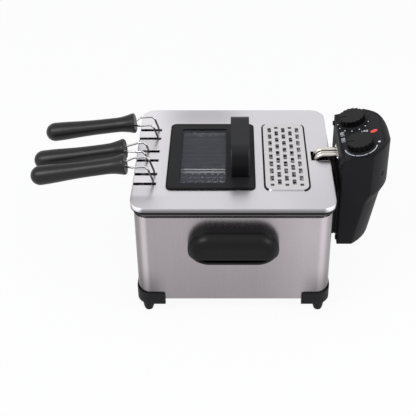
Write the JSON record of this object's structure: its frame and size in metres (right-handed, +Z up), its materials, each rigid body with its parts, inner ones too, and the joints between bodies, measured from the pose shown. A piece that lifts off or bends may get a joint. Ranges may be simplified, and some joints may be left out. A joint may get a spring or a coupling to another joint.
{
  "type": "deep fryer",
  "caption": "Electric deep fryer with a lift-out oil pot, wire frying baskets, a windowed vented lid and a removable control head with heating element.",
  "frame": {"origin": "on the table, under the middle of the housing", "axes": "+X to the control head, -X to the basket grips and the user, +Y to the user's left, +Z up"},
  "size_m": [0.5383, 0.308, 0.2617],
  "materials": {
    "brushed_steel": "brushed, long fine grain",
    "bright_steel": "bright pressed steel",
    "plain_steel": "plain mill finish",
    "chrome_wire": "polished chrome plate",
    "basket_mesh_steel": "tinned woven wire",
    "grip_plastic": "moulded black, soft gloss",
    "black_plastic": "moulded black, fine grain",
    "handle_plastic": "moulded black, satin",
    "panel_plastic": "moulded black, fine grain, pale dial marks",
    "knob_plastic": "moulded black, fluted",
    "rubber": "matt black",
    "window_glass": "tempered, tinted",
    "heater_metal": "nickel-plated tube",
    "screw_steel": "plated",
    "brass": "turned",
    "red_lens": "clear red",
    "red_plastic": "moulded red",
    "cream_plastic": "moulded, heat resistant"
  },
  "bodies": {
    "housing": {"housing_shell": "brushed_steel", "base_plate": "plain_steel", "foot_grip_right": "black_plastic", "foot_grip_left": "black_plastic", "foot_head_right": "black_plastic", "foot_head_left": "black_plastic", "foot_pads": "rubber", "foot_screws": "screw_steel", "carry_handle_right": "handle_plastic", "carry_handle_left": "handle_plastic", "carry_handle_screws": "screw_steel", "head_bracket": "black_plastic", "bracket_screws": "screw_steel"},
    "pot": {"oil_pot": "bright_steel"},
    "head": {"head_shell": "black_plastic", "head_back_cover": "black_plastic", "control_panel": "panel_plastic", "heating_element": "heater_metal", "element_clip": "plain_steel", "tube_clamp": "plain_steel", "sensor_bulb": "heater_metal", "thermostat": "cream_plastic", "timer": "plain_steel", "lamp_lens": "red_lens", "lamp_holder": "cream_plastic", "terminal_block": "cream_plastic", "thermal_cutout": "cream_plastic", "interlock_switch": "cream_plastic", "cord_inlet": "black_plastic", "inlet_contacts": "brass", "head_screws": "screw_steel"},
    "timer_dial": {"timer_knob": "knob_plastic", "timer_shaft": "brass"},
    "thermostat_dial": {"thermostat_knob": "knob_plastic", "thermostat_shaft": "brass"},
    "reset": {"reset_button": "red_plastic"},
    "interlock": {"interlock_plunger": "red_plastic"},
    "large_basket": {"large_basket_mesh": "basket_mesh_steel", "large_basket_frame": "chrome_wire", "large_basket_wires": "chrome_wire", "large_basket_grip": "grip_plastic"},
    "left_basket": {"left_basket_mesh": "basket_mesh_steel", "left_basket_frame": "chrome_wire", "left_basket_wires": "chrome_wire", "left_basket_grip": "grip_plastic"},
    "right_basket": {"right_basket_mesh": "basket_mesh_steel", "right_basket_frame": "chrome_wire", "right_basket_wires": "chrome_wire", "right_basket_grip": "grip_plastic"},
    "lid": {"lid_shell": "brushed_steel", "lid_seal": "rubber", "window_bezel": "handle_plastic", "window_glass": "window_glass", "window_gasket": "rubber", "lid_handle": "handle_plastic", "lid_handle_screws": "screw_steel", "vent_panel": "bright_steel", "filter_mesh": "plain_steel", "filter_frame": "plain_steel"}
  },
  "joints": [
    {"name": "pot_lift", "type": "slide", "parent": "housing", "child": "pot", "axis": [0, 0, 1], "range_m": [0, 0.14]},
    {"name": "head_lift", "type": "slide", "parent": "pot", "child": "head", "axis": [0, 0, 1], "range_m": [0, 0.14]},
    {"name": "large_basket_lift", "type": "slide", "parent": "head", "child": "large_basket", "axis": [0, 0, 1], "range_m": [0, 0.12]},
    {"name": "left_basket_lift", "type": "slide", "parent": "large_basket", "child": "left_basket", "axis": [0, 0, 1], "range_m": [0, 0.1]},
    {"name": "right_basket_lift", "type": "slide", "parent": "left_basket", "child": "right_basket", "axis": [0, 0, 1], "range_m": [0, 0.1]},
    {"name": "lid_lift", "type": "slide", "parent": "right_basket", "child": "lid", "axis": [0, 0, 1], "range_m": [0, 0.1]},
    {"name": "timer_turn", "type": "hinge", "parent": "head", "child": "timer_dial", "pos_m": [0.183, 0.033, 0.24323], "axis": [-0.2419, 0, 0.9703], "range_deg": [-300, 0]},
    {"name": "thermostat_turn", "type": "hinge", "parent": "head", "child": "thermostat_dial", "pos_m": [0.1875, -0.035, 0.24435], "axis": [-0.2419, 0, 0.9703], "range_deg": [-270, 0]},
    {"name": "reset_press", "type": "slide", "parent": "head", "child": "reset", "axis": [-0.809, 0.5878, 0], "range_m": [0, 0.002], "stiffness_N_per_m": 400},
    {"name": "interlock_press", "type": "slide", "parent": "head", "child": "interlock", "axis": [1, 0, 0], "range_m": [0, 0.0025], "stiffness_N_per_m": 300}
  ]
}
